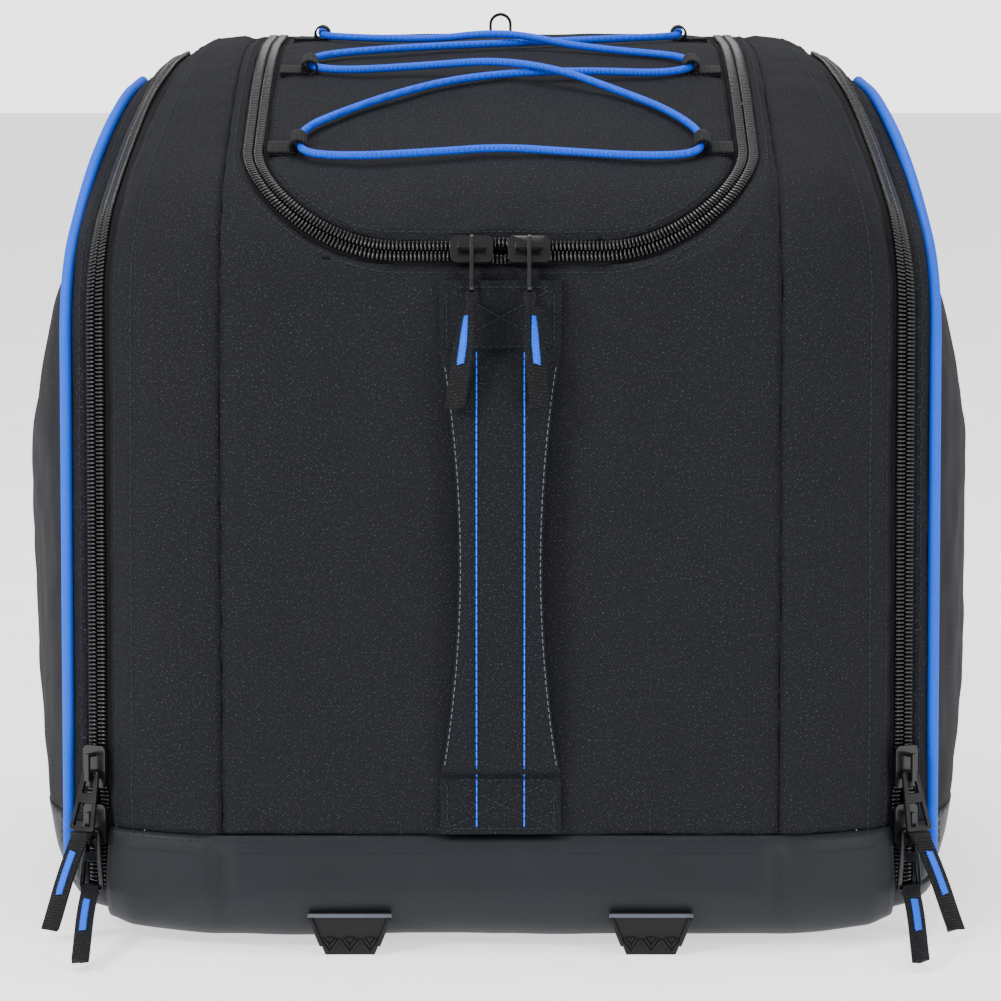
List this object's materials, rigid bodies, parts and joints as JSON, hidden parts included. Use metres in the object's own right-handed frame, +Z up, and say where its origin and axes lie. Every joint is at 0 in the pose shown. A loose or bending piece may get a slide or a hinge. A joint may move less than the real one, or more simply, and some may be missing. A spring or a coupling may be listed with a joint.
{
  "type": "ski boot bag",
  "caption": "Boxy ski boot backpack with domed zip-down side compartments, a zipped top lid laced with bungee cord, a front grab handle, a vinyl base and rubber feet.",
  "frame": {"origin": "middle of the bounding box's footprint, on the ground under the rubber feet", "axes": "+X to the right seen from the front, -Y out of the front, +Z up"},
  "size_m": [0.41, 0.3334, 0.3705],
  "materials": {
    "body_twill": "fine polyester twill, matt with a slight sparkle",
    "handle_fabric": "dense plain weave with blue topstitching",
    "base_vinyl": "smooth coated vinyl, satin",
    "piping_weave": "bright blue woven piping",
    "bungee_braid": "bright blue braided elastic",
    "black_webbing": "ribbed polyester webbing",
    "tag_webbing": "ribbed webbing with a blue bar tack",
    "zipper_coil": "glossy black coil on a black tape",
    "slider_metal": "gloss black lacquer",
    "puller_metal": "gloss black lacquer",
    "foot_rubber": "moulded black rubber",
    "mesh_foam": "spacer mesh over foam",
    "lining_cloth": "thin lining cloth",
    "lock_plastic": "moulded acetal",
    "board_plastic": "stiff polyethylene board"
  },
  "bodies": {
    "shell": {"front_panel": "body_twill", "back_panel": "body_twill", "left_gusset": "body_twill", "right_gusset": "body_twill", "vinyl_base": "base_vinyl", "base_board": "board_plastic", "left_divider": "lining_cloth", "right_divider": "lining_cloth", "left_body_zipper_tape": "zipper_coil", "right_body_zipper_tape": "zipper_coil", "front_lid_zipper_tape": "zipper_coil", "front_handle": "handle_fabric", "back_pad": "mesh_foam", "left_shoulder_strap": "mesh_foam", "right_shoulder_strap": "mesh_foam", "left_ladder_lock": "lock_plastic", "right_ladder_lock": "lock_plastic", "left_strap_webbing": "black_webbing", "right_strap_webbing": "black_webbing", "front_left_foot": "foot_rubber", "front_right_foot": "foot_rubber", "rear_left_foot": "foot_rubber", "rear_right_foot": "foot_rubber"},
    "lid": {"top_lid": "body_twill", "top_lid_zipper_tape": "zipper_coil", "front_bungee_loops": "black_webbing", "middle_bungee_loops": "black_webbing", "rear_bungee_loops": "black_webbing", "bungee_cord": "bungee_braid"},
    "left_door_body": {"left_door": "body_twill", "left_door_band": "base_vinyl", "left_piping": "piping_weave", "left_door_zipper_tape": "zipper_coil"},
    "right_door_body": {"right_door": "body_twill", "right_door_band": "base_vinyl", "right_piping": "piping_weave", "right_door_zipper_tape": "zipper_coil"},
    "hang_loop_body": {"hang_loop": "black_webbing"},
    "left_upper_slider_body": {"left_upper_slider": "slider_metal"},
    "left_upper_puller_body": {"left_upper_puller": "puller_metal"},
    "left_upper_tag_body": {"left_upper_tag": "tag_webbing"},
    "left_lower_slider_body": {"left_lower_slider": "slider_metal"},
    "left_lower_puller_body": {"left_lower_puller": "puller_metal"},
    "left_lower_tag_body": {"left_lower_tag": "tag_webbing"},
    "right_upper_slider_body": {"right_upper_slider": "slider_metal"},
    "right_upper_puller_body": {"right_upper_puller": "puller_metal"},
    "right_upper_tag_body": {"right_upper_tag": "tag_webbing"},
    "right_lower_slider_body": {"right_lower_slider": "slider_metal"},
    "right_lower_puller_body": {"right_lower_puller": "puller_metal"},
    "right_lower_tag_body": {"right_lower_tag": "tag_webbing"},
    "lid_left_slider_body": {"lid_left_slider": "slider_metal"},
    "lid_left_puller_body": {"lid_left_puller": "puller_metal"},
    "lid_left_tag_body": {"lid_left_tag": "tag_webbing"},
    "lid_right_slider_body": {"lid_right_slider": "slider_metal"},
    "lid_right_puller_body": {"lid_right_puller": "puller_metal"},
    "lid_right_tag_body": {"lid_right_tag": "tag_webbing"}
  },
  "joints": [
    {"name": "lid_hinge", "type": "hinge", "parent": "shell", "child": "lid", "pos_m": [0, 0.13005, 0.3609], "axis": [-1, 0, 0], "range_deg": [0, 105]},
    {"name": "left_door_hinge", "type": "hinge", "parent": "shell", "child": "left_door_body", "pos_m": [-0.1816, 0, 0.02215], "axis": [0, -1, 0], "range_deg": [0, 80]},
    {"name": "right_door_hinge", "type": "hinge", "parent": "shell", "child": "right_door_body", "pos_m": [0.1816, 0, 0.02215], "axis": [0, 1, 0], "range_deg": [0, 80]},
    {"name": "hang_loop_hinge", "type": "hinge", "parent": "shell", "child": "hang_loop_body", "pos_m": [0, 0.1405, 0.3637], "axis": [-1, 0, 0], "range_deg": [-75, 75]},
    {"name": "left_upper_slide", "type": "slide", "parent": "shell", "child": "left_upper_slider_body", "axis": [0, 0.0929, 0.9957], "range_m": [0, 0.16]},
    {"name": "left_upper_puller_hinge", "type": "hinge", "parent": "left_upper_slider_body", "child": "left_upper_puller_body", "pos_m": [-0.16731, -0.11484, 0.06976], "axis": [-0.8547, 0.5169, -0.0482], "range_deg": [0, 100]},
    {"name": "left_upper_tag_hinge", "type": "hinge", "parent": "left_upper_puller_body", "child": "left_upper_tag_body", "pos_m": [-0.1706, -0.12229, 0.04825], "axis": [-0.8547, 0.5169, -0.0482], "range_deg": [0, 80]},
    {"name": "left_lower_slide", "type": "slide", "parent": "shell", "child": "left_lower_slider_body", "axis": [0, 0.0929, 0.9957], "range_m": [-0.012, 0.0015]},
    {"name": "left_lower_puller_hinge", "type": "hinge", "parent": "left_lower_slider_body", "child": "left_lower_puller_body", "pos_m": [-0.16731, -0.11707, 0.04576], "axis": [-0.854, 0.5181, -0.0483], "range_deg": [0, 10]},
    {"name": "left_lower_tag_hinge", "type": "hinge", "parent": "left_lower_puller_body", "child": "left_lower_tag_body", "pos_m": [-0.16731, -0.11921, 0.02286], "axis": [-0.854, 0.5181, -0.0483], "range_deg": [0, 45]},
    {"name": "right_upper_slide", "type": "slide", "parent": "shell", "child": "right_upper_slider_body", "axis": [0, 0.0929, 0.9957], "range_m": [0, 0.16]},
    {"name": "right_upper_puller_hinge", "type": "hinge", "parent": "right_upper_slider_body", "child": "right_upper_puller_body", "pos_m": [0.16731, -0.11484, 0.06976], "axis": [-0.8547, -0.5169, 0.0482], "range_deg": [0, 100]},
    {"name": "right_upper_tag_hinge", "type": "hinge", "parent": "right_upper_puller_body", "child": "right_upper_tag_body", "pos_m": [0.1706, -0.12229, 0.04825], "axis": [-0.8547, -0.5169, 0.0482], "range_deg": [0, 80]},
    {"name": "right_lower_slide", "type": "slide", "parent": "shell", "child": "right_lower_slider_body", "axis": [0, 0.0929, 0.9957], "range_m": [-0.012, 0.0015]},
    {"name": "right_lower_puller_hinge", "type": "hinge", "parent": "right_lower_slider_body", "child": "right_lower_puller_body", "pos_m": [0.16731, -0.11707, 0.04576], "axis": [-0.854, -0.5181, 0.0483], "range_deg": [0, 10]},
    {"name": "right_lower_tag_hinge", "type": "hinge", "parent": "right_lower_puller_body", "child": "right_lower_tag_body", "pos_m": [0.16731, -0.11921, 0.02286], "axis": [-0.854, -0.5181, 0.0483], "range_deg": [0, 45]},
    {"name": "lid_left_slide", "type": "slide", "parent": "shell", "child": "lid_left_slider_body", "axis": [-1, 0, 0], "range_m": [0, 0.021]},
    {"name": "lid_left_puller_hinge", "type": "hinge", "parent": "lid_left_slider_body", "child": "lid_left_puller_body", "pos_m": [-0.0115, -0.11263, 0.28567], "axis": [-1, 0, 0], "range_deg": [0, 100]},
    {"name": "lid_left_tag_hinge", "type": "hinge", "parent": "lid_left_puller_body", "child": "lid_left_tag_body", "pos_m": [-0.0115, -0.12287, 0.26779], "axis": [0, -0.8829, 0.4695], "range_deg": [-40, 8]},
    {"name": "lid_right_slide", "type": "slide", "parent": "shell", "child": "lid_right_slider_body", "axis": [1, 0, 0], "range_m": [0, 0.021]},
    {"name": "lid_right_puller_hinge", "type": "hinge", "parent": "lid_right_slider_body", "child": "lid_right_puller_body", "pos_m": [0.0115, -0.11263, 0.28567], "axis": [-1, 0, 0], "range_deg": [0, 100]},
    {"name": "lid_right_tag_hinge", "type": "hinge", "parent": "lid_right_puller_body", "child": "lid_right_tag_body", "pos_m": [0.0115, -0.12287, 0.26779], "axis": [0, -0.8829, 0.4695], "range_deg": [-8, 40]}
  ]
}
